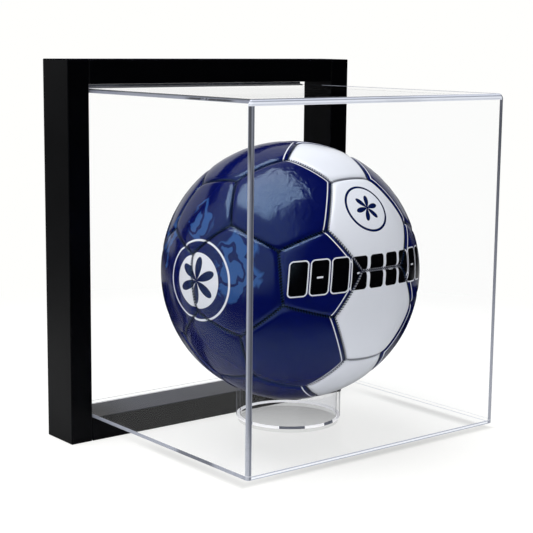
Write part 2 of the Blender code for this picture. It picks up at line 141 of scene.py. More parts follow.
class Graph:
    def __init__(self, owner):
        owner.use_nodes = True
        self.tree = owner.node_tree
        self.tree.nodes.clear()

    def feed(self, slot, value):
        if isinstance(value, Wire):
            self.tree.links.new(value.socket, slot)
        elif value is not None:
            slot.default_value = value

    # Any node: its type, its settings (set first) and its sockets' values or links.
    def node(self, kind, settings=None, sockets=None):
        made = self.tree.nodes.new(kind)
        for name, value in (settings or {}).items():
            setattr(made, name, value)
        for name, value in (sockets or {}).items():
            self.feed(made.inputs[name], value)
        return Made(self, made)

    # The Mix node has a set of sockets for each data type: its factor is 0, its colours are 6, 7 and 2.
    def mixColour(self, factor, first, second):
        made = self.node("ShaderNodeMix", {"data_type": "RGBA"})
        self.feed(made.node.inputs[0], factor)
        self.feed(made.node.inputs[6], asColour(first))
        self.feed(made.node.inputs[7], asColour(second))
        return Wire(self, made.node.outputs[2])

    # A slate ramp through (position, grey) stops.
    def stops(self, factor, stops):
        made = self.node("ShaderNodeValToRGB", {}, {"Fac": factor})
        elements = made.node.color_ramp.elements
        elements.remove(elements[1])
        elements[0].position = stops[0][0]
        elements[0].color = asColour(slate(stops[0][1]))
        for position, grey in stops[1:]:
            elements.new(position).color = asColour(slate(grey))
        return made["Color"]

    def dot(self, vector, direction):
        made = self.node("ShaderNodeVectorMath", {"operation": "DOT_PRODUCT"})
        self.feed(made.node.inputs[0], vector)
        self.feed(made.node.inputs[1], tuple(direction))
        return made["Value"]

    def noise(self, vector, scale, detail=2, roughness=0.5, distortion=0.0):
        made = self.node(
            "ShaderNodeTexNoise",
            {},
            {
                "Vector": vector,
                "Scale": scale,
                "Detail": detail,
                "Roughness": roughness,
                "Distortion": distortion,
            },
        )
        return made["Fac"]

    def bump(self, height, distance, strength, normal=None):
        sockets = {"Height": height, "Distance": distance, "Strength": strength, "Normal": normal}
        return self.node("ShaderNodeBump", {}, sockets)["Normal"]

    # The X, Y and Z of a vector
    def partsOf(self, vector):
        parts = self.node("ShaderNodeSeparateXYZ", {}, {0: vector})
        return parts["X"], parts["Y"], parts["Z"]

    def objectPlace(self):
        return self.node("ShaderNodeTexCoord")["Object"]

    def principled(self, sockets):
        return self.node("ShaderNodeBsdfPrincipled", {}, sockets)["BSDF"]

    def mixShader(self, factor, first, second):
        return self.node("ShaderNodeMixShader", {}, {0: factor, 1: first, 2: second})["Shader"]

    def output(self, shader):
        self.node("ShaderNodeOutputMaterial", {}, {"Surface": shader})


def asColour(value):
    return (*value, 1) if isinstance(value, tuple) and len(value) == 3 else value


def newMaterial(name):
    made = bpy.data.materials.new(name)
    return made, Graph(made)


# Mesh helpers

def newPiece(name, mesh, materials, body, replaced, place=(0, 0, 0)):
    piece = bpy.data.objects.new(name, mesh)
    bpy.context.scene.collection.objects.link(piece)
    for material in materials:
        mesh.materials.append(material)
    piece.location = place
    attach(piece, body)
    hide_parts(*replaced)
    return piece


def meshFrom(bm, name):
    mesh = bpy.data.meshes.new(name)
    bmesh.ops.recalc_face_normals(bm, faces=bm.faces)
    bm.to_mesh(mesh)
    bm.free()
    return mesh


def roundEdges(piece, width, angle, material):
    bevel = piece.modifiers.new("edges", "BEVEL")
    bevel.material = material
    bevel.width = width
    bevel.segments = 1
    bevel.limit_method = "ANGLE"
    bevel.angle_limit = math.radians(angle)
    bevel.harden_normals = True


# Camera

cameraSettings = {
    "place": (-0.73055, -1.02141, 0.0266),
    "yaw": 38.738,
    "pitch": 9.342,
    "roll": 0.6207,
    "lens": 92.55,
    "sensor": 36.0,
}


def addCamera(settings):
    data = bpy.data.cameras.new("photoCamera")
    data.lens = settings["lens"]
    data.sensor_width = settings["sensor"]
    data.clip_start = 0.01
    camera = bpy.data.objects.new("photoCamera", data)
    bpy.context.scene.collection.objects.link(camera)
    yaw = Matrix.Rotation(-math.radians(settings["yaw"]), 4, "Z")
    pitch = Matrix.Rotation(math.radians(90 - settings["pitch"]), 4, "X")
    roll = Matrix.Rotation(math.radians(settings["roll"]), 4, "Z")
    camera.matrix_world = Matrix.Translation(settings["place"]) @ yaw @ pitch @ roll
    bpy.context.scene.camera = camera


# Studio: white backdrop, pale table, dark room on the camera's right, soft box overhead

studio = {
    "white": (1.0, 1.0, 0.985),
    "ambient": 0.56,
    "leftWay": (-0.85, -0.05, 0.52),
    "leftEdge": (0.55, 0.85),
    "leftGlow": 0.88,
    "backEdge": (0.2, 0.5),
    "backFoot": (-0.04, 0.01),
    "backGlow": 0.55,
    "tableEdge": (-0.2, 0.3),
    "tableDepth": (0.08, 0.22),
    "tableGlow": 0.35,
    "boxSize": 0.95,
    "boxHeight": 1.05,
    "boxShift": (-0.38, 0.06),
    "boxPower": 14.0,
}


# What glossy surfaces mirror of the room.
def roomGlow(graph, settings):
    way = graph.node("ShaderNodeTexCoord")["Generated"]
    y, z = graph.partsOf(way)[1:]
    left = graph.dot(way, settings["leftWay"]).ramp(*settings["leftEdge"]) * settings["leftGlow"]
    back = y.ramp(*settings["backEdge"]) * z.ramp(*settings["backFoot"]) * settings["backGlow"]
    table = y.ramp(*settings["tableEdge"]) * (-z).ramp(*settings["tableDepth"]) * settings["tableGlow"]
    return left.largest(back).largest(table)


def addWorld(settings):
    world = bpy.data.worlds.new("studio")
    bpy.context.scene.world = world
    graph = Graph(world)
    rays = graph.node("ShaderNodeLightPath")
    seen = rays["Is Camera Ray"].largest(rays["Is Transmission Ray"])
    mirrored = rays["Is Glossy Ray"]
    glow = roomGlow(graph, settings)
    strength = seen + mirrored * glow * (1 - seen)
    strength = strength + (1 - mirrored) * (1 - seen) * settings["ambient"]
    sockets = {"Color": asColour(settings["white"]), "Strength": strength}
    background = graph.node("ShaderNodeBackground", {}, sockets)["Background"]
    graph.node("ShaderNodeOutputWorld", {}, {"Surface": background})


def addSoftBox(settings):
    data = bpy.data.lights.new("softBox", "AREA")
    data.shape = "SQUARE"
    data.size = settings["boxSize"]
    data.energy = settings["boxPower"]
    box = bpy.data.objects.new("softBox", data)
    bpy.context.scene.collection.objects.link(box)
    middle = (cadBounds[0] + cadBounds[1]) / 2
    shift = settings["boxShift"]
    box.location = (shift[0], middle.y + shift[1], settings["boxHeight"])
    aim = middle - box.location
    box.rotation_euler = aim.to_track_quat("-Z", "Y").to_euler()


stageFloor = {
    "radius": 0.75,
    "fade": 0.45,
    "corners": 96,
    "drop": 0.0004,
    "pale": 0.92,
    "dim": 0.6,
    "dimEdge": (0.12, 0.33),
    "leftEdge": (0.12, 0.22),
    "backEdge": (-0.04, 0.04),
    "lineMiddle": 0.0358,
    "lineHalf": 0.1400,
    "lineFront": -0.2145,
    "lineRise": (-0.007, 0.002),
    "lineFall": (0.003, 0.018),
    "lineEnd": (0.10, 0.20),
    "lineShare": 0.34,
    "shade": 0.35,
    "shadeEdge": (0.10, 0.34),
    "shadeLoss": 0.5,
    "glow": 1.13,
}


# The camera sees a glowing floor with soft shadows and a painted shadow line, mirrors see a dimmer one, and
# light meets a pale one.
def addFloor(settings, white):
    bm = bmesh.new()
    bmesh.ops.create_circle(bm, cap_ends=True, segments=settings["corners"], radius=settings["radius"])
    mesh = meshFrom(bm, "studioFloor")
    floor = bpy.data.objects.new("studioFloor", mesh)
    bpy.context.scene.collection.objects.link(floor)
    middle = (cadBounds[0] + cadBounds[1]) / 2
    floor.location = (middle.x, middle.y, cadBounds[0].z - settings["drop"])
    material, graph = newMaterial("whiteFloor")
    rays = graph.node("ShaderNodeLightPath")
    place = graph.objectPlace()
    x, y = graph.partsOf(place)[:2]
    far = graph.node("ShaderNodeVectorMath", {"operation": "LENGTH"}, {0: place})["Value"]
    rim = far.ramp(settings["fade"], settings["radius"])
    seen = rays["Is Camera Ray"].largest(rays["Is Transmission Ray"])
    mirrored = rays["Is Glossy Ray"] * (1 - rays["Is Transmission Ray"])
    leftBack = (-x).ramp(*settings["leftEdge"]) * y.ramp(*settings["backEdge"])
    away = far.ramp(*settings["dimEdge"]) * (1 - leftBack)
    dimmed = graph.mixColour(away, (settings["dim"],) * 3, (0, 0, 0))
    colour = graph.mixColour(mirrored, (settings["pale"],) * 3, dimmed)
    matte = graph.node("ShaderNodeBsdfDiffuse", {}, {"Color": colour})["BSDF"]
    # a painted soft shadow line of the raised case, which darkens the floor's glow
    fromSide = settings["lineHalf"] - (x - (settings["lineMiddle"] - middle.x)).absolute()
    fromFront = y - (settings["lineFront"] - middle.y)
    inside = fromSide.smallest(fromFront)
    line = inside.ramp(*settings["lineRise"]) * (1 - inside.ramp(*settings["lineFall"]))
    line = line * (1 - fromFront.ramp(*settings["lineEnd"]))
    strength = rim * (1 - settings["glow"]) + settings["glow"]
    strength = strength * (1 - line * settings["lineShare"])
    glow = graph.node("ShaderNodeEmission", {}, {"Color": asColour(white), "Strength": strength})
    nearness = 1 - far.ramp(*settings["shadeEdge"]) * settings["shadeLoss"]
    shade = settings["shade"] * (1 - rim) * nearness
    graph.output(graph.mixShader(seen, matte, graph.mixShader(shade, glow["Emission"], matte)))
    mesh.materials.append(material)


# Frame: black satin lacquer on wood

lacquer = {
    "dark": (0.0004, 0.0005, 0.0010),
    "light": (0.0012, 0.0013, 0.0022),
    "cloudScale": 26,
    "grain": (420, 3),
    "grainBump": (0.00006, 0.35),
    "speck": (0.012, 0.012, 0.014),
    "speckScale": 900,
    "speckEdge": (0.74, 0.80),
    "speckShare": 0.3,
    "dust": (0.030, 0.034, 0.055),
    "dustFacing": (0.5, 0.9),
    "dustTop": -0.2,
    "dustEdge": (-0.14, -0.07),
    "roughness": 0.28,
    "roughnessRange": 0.10,
    "specular": 0.10,
    "sheen": (0.90, 0.93, 1.0),
    "matt": (0.004, 0.004, 0.006),
    "mattFacing": (0.2, 0.5),
    "mattDepth": (0.006, 0.002),
}


def lacquerMaterial(settings):
    material, graph = newMaterial("blackLacquer")
    place = graph.objectPlace()
    x, z = graph.partsOf(place)[::2]
    facingUp = graph.partsOf(graph.node("ShaderNodeNewGeometry")["Normal"])[2]
    grain = graph.noise(place, *settings["grain"])
    cloud = graph.noise(place, settings["cloudScale"])
    speck = graph.noise(place, settings["speckScale"], 1).ramp(*settings["speckEdge"])
    colour = graph.mixColour(cloud, settings["dark"], settings["light"])
    colour = graph.mixColour(speck * settings["speckShare"], colour, settings["speck"])
    # the upward faces of the bottom rail are lighter and bluish, right of its left end
    railUpper = facingUp.ramp(*settings["dustFacing"]) * z.below(settings["dustTop"])
    railUpper = railUpper * x.ramp(*settings["dustEdge"])
    satin = graph.principled(
        {
            "Base Color": graph.mixColour(railUpper, colour, settings["dust"]),
            "Roughness": cloud * settings["roughnessRange"] + settings["roughness"],
            "Specular IOR Level": settings["specular"],
            "Specular Tint": asColour(settings["sheen"]),
            "Normal": graph.bump(grain, *settings["grainBump"]),
        }
    )
    # the top of the frame is matt
    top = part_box("top_rail")[1].z
    deep, shallow = settings["mattDepth"]
    isTop = facingUp.ramp(*settings["mattFacing"]) * z.ramp(top - deep, top - shallow)
    sockets = {"Base Color": asColour(settings["matt"]), "Roughness": 1.0, "Specular IOR Level": 0.0}
    graph.output(graph.mixShader(isTop, satin, graph.principled(sockets)))
    return material


# Clear acrylic. Camera rays meet it, and so do the rays that they send on through a sheet. Every other ray
# passes straight through, so it takes no light away.

acrylic = {
    "tint": (0.994, 0.996, 1.0),
    "gloss": 0.10,
    "edge": 0.0003,
    "edgeAngle": 50,
    "bend": 0.0030,
    "bendSlack": 0.0001,
    "innerBend": 0.0004,
    "leastBend": 0.0002,
    "bendSteps": 12,
    "leftStrip": 0.0005,
    "rightStrip": 0.0026,
    "rounding": 0.0050,
    "roundSteps": 8,
    "topBand": 0.0054,
    "sideBand": 0.0037,
    "backBand": 0.0016,
    "backSlack": 0.0020,
    "ridge": 0.0017,
    "ridgeDepth": 0.0012,
    "sharpAngle": 40,
    "flatUp": 0.98,
    "flatDown": -0.5,
    "facing": 0.5,
}
coat = {"Coat Roughness": 0.0, "Coat IOR": 1.5}
# the painted shadow of the ball on the case's floor, darker towards the back
paintedBallShadow = {"way": (0.625, 0.780), "edge": (-0.0006, 0.0004), "least": 0.26, "more": 0.26}
lineFacing = (0.80, 0.93)
edgeGloss = {"Roughness": 0.2, "Transmission Weight": 0.12, "IOR": 1.49}


# Slate when dark, lavender when light.
def slate(grey):
    return (grey * (0.91 + 0.07 * grey), grey, grey * (1.32 - 0.30 * grey))


# The shader for camera rays, and for the rays that it sends on through the sheet.
def onlyForCamera(graph, shader):
    rays = graph.node("ShaderNodeLightPath")
    through = graph.node("ShaderNodeBsdfTransparent")["BSDF"]
    behindSheet = graph.mixShader(rays["Is Transmission Ray"], through, shader)
    return graph.mixShader(rays["Is Camera Ray"], behindSheet, shader)


# A pane without refraction. With a spot (middle and radius), a painted soft shadow of the ball darkens it
# there.
# With lines (a colour), it has that colour, a painted reflection, where it is seen edge on.
def clearMaterial(name, tint, gloss, spot=None, lines=None):
    material, graph = newMaterial(name)
    colour = asColour(tint)
    if spot:
        middle, radius = spot
        x, y = graph.partsOf(graph.objectPlace())[:2]
        x, y = x - middle.x, y - middle.y
        outer, inner = paintedBallShadow["edge"]
        inside = 1 - (x * x + y * y).math("SQRT").ramp(radius + outer, radius + inner)
        backward = (x * paintedBallShadow["way"][0] + y * paintedBallShadow["way"][1]) / radius
        share = backward.ramp(-1.0, 1.0) * paintedBallShadow["more"] + paintedBallShadow["least"]
        # painted shadow: the pane is darker inside the ring
        colour = graph.mixColour(inside * share, tint, (0, 0, 0))
    clear = {"Base Color": colour, "Roughness": 0.0, "Transmission Weight": 1.0, "IOR": 1.0}
    pane = graph.principled({**clear, "Coat Weight": gloss, **coat})
    # painted reflection: a grey where the pane is seen edge on
    if lines:
        facing = graph.node("ShaderNodeLayerWeight", {}, {"Blend": 0.5})["Facing"]
        line = graph.principled({"Base Color": asColour(lines), **edgeGloss})
        pane = graph.mixShader(facing.ramp(*lineFacing), pane, line)
    graph.output(onlyForCamera(graph, pane))
    return material


# Greys of painted reflections over the width of the left bend at three heights, and over the height of the
# right bend
bends = {
    "leftUpper": (
        (0.0, 0.45), (0.12, 0.12), (0.30, 0.045), (0.50, 0.05), (0.62, 0.26), (0.74, 0.24),
        (0.86, 0.09), (1.0, 0.30),
    ),
    "leftMiddle": (
        (0.0, 0.50), (0.28, 0.46), (0.40, 0.24), (0.60, 0.22), (0.72, 0.10), (0.92, 0.14),
        (1.0, 0.40),
    ),
    "leftFoot": ((0.0, 0.46), (0.20, 0.55), (0.60, 0.50), (0.74, 0.24), (0.90, 0.26), (1.0, 0.50)),
    "upperStart": (0.78, 0.88),
    "footEnd": (0.02, 0.30),
    "right": (
        (0.0, 0.44), (0.02, 0.50), (0.15, 0.46), (0.30, 0.38), (0.45, 0.26), (0.66, 0.17),
        (0.90, 0.09), (1.0, 0.15),
    ),
    "cornerAcross": (0.45, 0.85),
    "cornerStart": (0.86, 0.93),
    "cornerEnd": (0.96, 1.0),
    "cornerShare": 0.7,
    "cornerGrey": 0.02,
}


# The two upright bends, with painted reflections: dark slate on top, lavender further down, with lines along
# them.
def bendMaterial(low, high, settings):
    material, graph = newMaterial("bentEdge")
    x, y, z = graph.partsOf(graph.objectPlace())
    height = (z - low.z) / (high.z - low.z)
    bend = settings["bend"]
    depth = y - (low.y + bend)
    across = (x - low.x - depth) / (2 * bend + settings["leftStrip"])
    outward = (x - high.x + depth) / (2 * bend + settings["rightStrip"]) + 1
    parts = ("leftUpper", "leftMiddle", "leftFoot")
    upper, middle, foot = (graph.stops(across, bends[part]) for part in parts)
    left = graph.mixColour(height.ramp(*bends["upperStart"]), middle, upper)
    left = graph.mixColour(height.ramp(*bends["footEnd"]), foot, left)
    right = graph.stops(height, bends["right"])
    # a painted dark reflection near the top of the right bend
    corner = outward.ramp(*bends["cornerAcross"]) * height.ramp(*bends["cornerStart"])
    corner = corner * (1 - height.ramp(*bends["cornerEnd"]))
    right = graph.mixColour(corner * bends["cornerShare"], right, slate(bends["cornerGrey"]))
    colour = graph.mixColour(x.above((low.x + high.x) / 2), left, right)
    edge = graph.principled({"Base Color": colour, **edgeGloss})
    graph.output(onlyForCamera(graph, edge))
    return material


# Greys of painted reflections and shade over the height of the cut edges, greys of the parts that are even,
# and where each part lies
rims = {
    "frontTop": (
        (0.0, 0.80), (0.14, 0.56), (0.26, 0.60), (0.38, 0.78), (0.48, 0.70), (0.54, 0.28),
        (0.64, 0.28), (0.70, 0.62), (0.78, 0.58), (0.84, 0.08),
    ),
    "fadeEdge": (-0.06, 0.13),
    "fadeHeight": (0.78, 0.84),
    "fadeGrey": 0.50,
    "leftTop": ((0.20, 0.30), (0.50, 0.25), (0.66, 0.20), (0.78, 0.03)),
    "dashMiddle": -0.2060,
    "dashEnd": (0.022, 0.034),
    "dashHeight": (0.52, 0.13),
    "dashCloud": (0.30, 0.42),
    "dashGrey": 0.012,
    "backStart": -0.03,
    "backEdge": (-0.10, -0.06),
    "backGreys": (0.14, 0.035),
    "backLineGrey": 0.80,
    "footHeight": 0.0031,
    "frontFoot": ((0.0, 0.42), (0.24, 0.44), (0.36, 0.88), (0.64, 0.88), (0.76, 0.46), (1.0, 0.38)),
    "leftFootMiddle": -0.190,
    "leftFootEnd": (0.018, 0.030),
    "leftFootGreys": (0.14, 0.42),
    "rightWidth": 0.002,
    "rightGrey": 0.60,
    "cloudScale": 160,
    "cloudShare": 0.15,
    "cloudGrey": 0.40,
    # the strength of the edges' painted glow
    "glow": 0.35,
}


# Cut and glued edges: grey lines of painted reflections beside light bands, painted shade at the back, and a
# painted glow.
def rimMaterial(low, high, settings):
    material, graph = newMaterial("polishedEdge")
    place = graph.objectPlace()
    x, y, z = graph.partsOf(place)
    cloud = graph.noise(place, rims["cloudScale"])
    isLeft = x.below(low.x + settings["rounding"]) * y.above(low.y + settings["bend"])
    isBack = y.above(rims["backStart"])
    onTop = (z - (high.z - settings["topBand"])) / settings["topBand"]
    # painted reflections: the greys along the top, foot and right edges
    faded = x.ramp(*rims["fadeEdge"]) * onTop.ramp(*rims["fadeHeight"])
    frontTop = graph.mixColour(faded, graph.stops(onTop, rims["frontTop"]), slate(rims["fadeGrey"]))
    dashLevel, dashHalf = rims["dashHeight"]
    dash = 1 - (y - rims["dashMiddle"]).absolute().ramp(*rims["dashEnd"])
    dash = dash * (onTop - dashLevel).absolute().below(dashHalf) * cloud.ramp(*rims["dashCloud"])
    leftTop = graph.mixColour(dash, graph.stops(onTop, rims["leftTop"]), slate(rims["dashGrey"]))
    # painted shade on the back of the top under the rail, with a painted light grey below its band
    backTop = graph.mixColour(x.ramp(*rims["backEdge"]), *map(slate, rims["backGreys"]))
    isLine = (high.z - z).above(settings["backBand"])
    backTop = graph.mixColour(isLine, backTop, slate(rims["backLineGrey"]))
    top = graph.mixColour(isBack, graph.mixColour(isLeft, frontTop, leftTop), backTop)
    frontFoot = graph.stops((z - low.z) / rims["footHeight"], rims["frontFoot"])
    stretch = (y - rims["leftFootMiddle"]).absolute().ramp(*rims["leftFootEnd"])
    leftFoot = graph.mixColour(stretch, *map(slate, rims["leftFootGreys"]))
    foot = graph.mixColour(isLeft, frontFoot, leftFoot)
    colour = graph.mixColour(z.above((low.z + high.z) / 2), foot, top)
    colour = graph.mixColour(x.above(high.x - rims["rightWidth"]), colour, slate(rims["rightGrey"]))
    colour = graph.mixColour(cloud * rims["cloudShare"], colour, slate(rims["cloudGrey"]))
    # a painted glow on all but the left and back edges, in place of the light that the sheets gather
    paintedGlowColour = graph.mixColour(isLeft.largest(isBack), colour, (0, 0, 0))
    sockets = {"Base Color": colour, "Emission Color": paintedGlowColour, "Emission Strength": rims["glow"]}
    graph.output(onlyForCamera(graph, graph.principled({**sockets, **edgeGloss})))
    return material


# The outline of the case seen from above, open at the back, as far in as inset says.
def caseOutline(low, high, inset, radius, settings):
    left, right, front = low.x + inset, high.x - inset, low.y + inset
    steps = settings["bendSteps"]
    points = [(left, high.y)]
    for i in range(steps + 1):
        turn = math.pi / 2 * i / steps
        points.append((left + radius - radius * math.cos(turn), front + radius - radius * math.sin(turn)))
    points.append((left + radius + settings["leftStrip"], front))
    points.append((right - radius - settings["rightStrip"], front))
    for i in range(steps + 1):
        turn = math.pi / 2 * i / steps
        points.append((right - radius + radius * math.sin(turn), front + radius - radius * math.cos(turn)))
    points.append((right, high.y))
    return points


# One solid for each stack of closed outlines at rising heights.
def stackedMesh(name, sharpAngle, *stacks):
    bm = bmesh.new()
    for stack in stacks:
        rings = [[bm.verts.new((x, y, height)) for x, y in outline] for height, outline in stack]
        for lower, upper in zip(rings, rings[1:]):
            for i in range(len(lower)):
                bm.faces.new((lower[i - 1], lower[i], upper[i], upper[i - 1]))
        bm.faces.new(rings[0][::-1])
        bm.faces.new(rings[-1])
    mesh = meshFrom(bm, name)
    mesh.shade_smooth()
    mesh.set_sharp_from_angle(angle=math.radians(sharpAngle))
    return mesh


paneFace, rimFace, bendFace = range(3)


# Wide faces are panes, the outsides of the upright bends are bends, and the other edges are rims.
def markFaces(mesh, low, high, settings):
    bend, topBand = settings["bend"], settings["topBand"]
    for face in mesh.polygons:
        normal, middle = face.normal, face.center
        fromLeft, fromRight, fromFront = middle.x - low.x, high.x - middle.x, middle.y - low.y
        fromTop = high.z - middle.z
        isFlat = normal.z > settings["flatUp"] or normal.z < settings["flatDown"]
        isInside = min(fromLeft, fromRight, fromFront) >= bend - settings["bendSlack"]
        inLeftBend = fromLeft < bend + settings["leftStrip"]
        inRightBend = fromRight < bend + settings["rightStrip"]
        inBend = fromFront < bend and (inLeftBend or inRightBend)
        onSide = fromLeft < settings["rounding"] and fromFront > bend
        band = settings["sideBand"] if onSide else topBand
        inBand = fromTop < band or middle.z < low.z + bend
        if isFlat or (isInside and middle.y < high.y - settings["backSlack"]):
            face.material_index = paneFace
        elif inBend and (fromTop > topBand or fromRight < bend):
            face.material_index = bendFace
        elif normal.y > settings["facing"]:
            face.material_index = rimFace if fromTop < settings["backBand"] else paneFace
        else:
            isRim = inBand and normal.x < settings["facing"]
            face.material_index = rimFace if isRim else paneFace


def buildCase(settings, spot):
    wrap, top, floor = (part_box(node) for node in ("case_wrap", "case_top", "case_floor"))
    low, high = floor[0], top[1]
    pane = clearMaterial("clearPane", settings["tint"], settings["gloss"])
    shadedPane = clearMaterial("floorPane", settings["tint"], settings["gloss"], spot)
    edges = [rimMaterial(low, high, settings), bendMaterial(low, high, settings)]
    bend, rounding = settings["bend"], settings["rounding"]
    sharpAngle = settings["sharpAngle"]

    def outlineIn(box, inset):
        return caseOutline(box[0], box[1], inset, max(bend - inset, settings["leastBend"]), settings)

    # the wrap and the top share the rounding of the upper edges, each on its side of their joint
    sheet = top[1].z - top[0].z
    joint = top[0].z
    inner = caseOutline(wrap[0], wrap[1], sheet, settings["innerBend"], settings)[::-1]
    jointTurn = math.asin(1 - sheet / rounding)
    levels = (wrap[0].z, high.z - settings["topBand"], high.z - rounding)
    wallStack = [(level, outlineIn(wrap, 0) + inner) for level in levels]
    topStack = []
    for i in range(settings["roundSteps"] + 1):
        for stack, first, last in ((wallStack, 0, jointTurn), (topStack, jointTurn, math.pi / 2)):
            turn = first + (last - first) * i / settings["roundSteps"]
            inset = rounding * (1 - math.cos(turn))
            level = high.z - rounding * (1 - math.sin(turn))
            if stack is topStack:
                stack.append((level, outlineIn(top, inset)))
            elif i > 0:
                stack.append((min(level, joint), outlineIn(wrap, inset) + inner))
    floorStack = [(level, outlineIn(floor, 0)) for level in (floor[0].z, floor[1].z)]
    left, right = top[0].x + 2 * bend, top[1].x - 2 * bend
    back, front = top[1].y, top[1].y - settings["ridgeDepth"]
    strip = [(left, back), (left, front), (right, front), (right, back)]
    ridge = [(top[1].z, strip), (top[1].z + settings["ridge"], strip)]
    meshes = {
        "case_wrap": stackedMesh("caseWrap", sharpAngle, wallStack),
        "case_floor": stackedMesh("caseFloor", sharpAngle, floorStack),
        "case_top": stackedMesh("caseTop", sharpAngle, topStack, ridge),
    }
    for node, mesh in meshes.items():
        markFaces(mesh, low, high, settings)
        clear = shadedPane if node == "case_floor" else pane
        piece = newPiece(mesh.name, mesh, [clear, *edges], "case", [node])
        if node == "case_floor":
            roundEdges(piece, settings["edge"], settings["edgeAngle"], rimFace)
    print("case built")


# Ring stand: a short piece of clear tube with polished lips

wallFace, footFace, lipFace = range(3)
ringShape = {"wall": 0.003, "lip": 0.0007, "lipSteps": 5, "foot": 0.0016, "steps": 144}
ringLook = {
    "tint": (0.88, 0.885, 0.90),
    "gloss": 0.25,
    "lines": (0.46, 0.47, 0.56),
    "lipTint": (1, 1, 1),
    "lipGloss": 0.03,
    "milk": (0.97, 0.97, 1.0),
    "milkGlow": 0.4,
    "front": (-0.625, -0.780, 0),
    "side": (0.780, -0.625, 0),
    "dashes": ((-0.72, 0.04), (0.06, 0.24), (0.755, 0.085)),
    "dashGrey": 0.11,
}


# The milky foot of the ring, with a painted glow, and painted dark reflections on its front.
def footMaterial(radius, settings):
    material, graph = newMaterial("ringFoot")
    place = graph.objectPlace()
    side = graph.dot(place, settings["side"]) / radius
    front = graph.dot(place, settings["front"]).above(0)
    dark = 0
    for middle, half in settings["dashes"]:
        dark = (side - middle).absolute().below(half) + dark
    # painted dark reflections on the front of the foot
    colour = graph.mixColour(dark * front, settings["milk"], slate(settings["dashGrey"]))
    sockets = {"Base Color": colour, "Emission Color": colour, "Emission Strength": settings["milkGlow"]}
    graph.output(onlyForCamera(graph, graph.principled({**sockets, **edgeGloss})))
    return material


# Where the painted shade of the ball lies on the case's floor: the ring's middle, and the radius of its
# wall's middle.
def paintedShadeSpot(settings):
    low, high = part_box("ring_stand")
    return (low + high) / 2, (high.x - low.x) / 2 - settings["wall"] / 2


def buildRing(settings, look):
    low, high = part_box("ring_stand")
    outer = (high.x - low.x) / 2
    inner = outer - settings["wall"]
    height = high.z - low.z
    lip, foot = settings["lip"], settings["foot"]
    # up the outside and down the inside, with a point at the foot's height on both
    corners = (
        (outer - lip, lip, -90, [(outer, foot)]),
        (outer - lip, height - lip, 0, []),
        (inner + lip, height - lip, 90, [(inner, foot)]),
        (inner + lip, lip, 180, []),
    )
    profile = []
    for radius, level, start, extra in corners:
        for i in range(settings["lipSteps"] + 1):
            turn = math.radians(start + 90 * i / settings["lipSteps"])
            profile.append((radius + lip * math.cos(turn), level + lip * math.sin(turn)))
        profile.extend(extra)
    mesh = turnedMesh("ringStand", profile, settings["steps"])
    for face in mesh.polygons:
        level = face.center.z
        face.material_index = lipFace if level > height - lip else footFace if level < foot else wallFace
    wall = clearMaterial("ringAcrylic", look["tint"], look["gloss"], lines=look["lines"])
    polished = clearMaterial("ringLip", look["lipTint"], look["lipGloss"])
    materials = [wall, footMaterial(outer, look), polished]
    middle = ((low.x + high.x) / 2, (low.y + high.y) / 2, low.z)
    newPiece("ringStand", mesh, materials, "stand", ["ring_stand"], middle)
    print("ring built")


# A closed profile of (radius, height) points turned about Z.
def turnedMesh(name, profile, steps):
    bm = bmesh.new()
    loops = []
    for step in range(steps):
        turn = 2 * math.pi * step / steps
        way = Vector((math.cos(turn), math.sin(turn), 0))
        loops.append([bm.verts.new(way * radius + Vector((0, 0, height))) for radius, height in profile])
    for step, loop in enumerate(loops):
        before = loops[step - 1]
        for i in range(len(profile)):
            bm.faces.new((before[i - 1], before[i], loop[i], loop[i - 1]))
    mesh = meshFrom(bm, name)
    mesh.shade_smooth()
    return mesh


# Ball

ball = {
    "azimuth": -27.5,
    "tilt": 82.8,
    "spin": 4.0,
    "bevelPercent": 32.5,
    "sideSteps": 24,
    "rings": (
        0.0, 0.0004, 0.0009, 0.0015, 0.0022, 0.0031, 0.0042, 0.0056, 0.0075, 0.0105,
        0.015, 0.021, 0.028,
    ),
    "seamDepth": 0.0019,
    "seamWidth": 0.0048,
    "seamPower": 2.2,
    "swell": 0.0004,
    "cornerBlend": 0.0022,
    "skirt": 0.0022,
    "seamGap": 0.00025,
    "stitchPitch": 0.0023,
}


# The corners of the 32 panels on a unit sphere, each panel's counted round from outside.
def panelNet(settings):
    bm = bmesh.new()
    bmesh.ops.create_icosphere(bm, subdivisions=1, radius=1)
    bmesh.ops.bevel(
        bm,
        geom=bm.verts[:],
        offset=settings["bevelPercent"],
        offset_type="PERCENT",
        affect="VERTICES",
        segments=1,
    )
    turn = (
        Matrix.Rotation(math.radians(settings["azimuth"]), 3, "Z")
        @ Matrix.Rotation(math.radians(settings["tilt"]), 3, "X")
        @ Matrix.Rotation(math.radians(settings["spin"]), 3, "Z")
    )
    bmesh.ops.rotate(bm, matrix=turn, verts=bm.verts)
    for vert in bm.verts:
        vert.co.normalize()
    panels = [[vert.co.copy() for vert in face.verts] for face in bm.faces]
    bm.free()
    for corners in panels:
        middle = sum(corners, Vector()).normalized()
        if (corners[1] - corners[0]).cross(corners[2] - corners[1]).dot(middle) < 0:
            corners.reverse()
    return panels


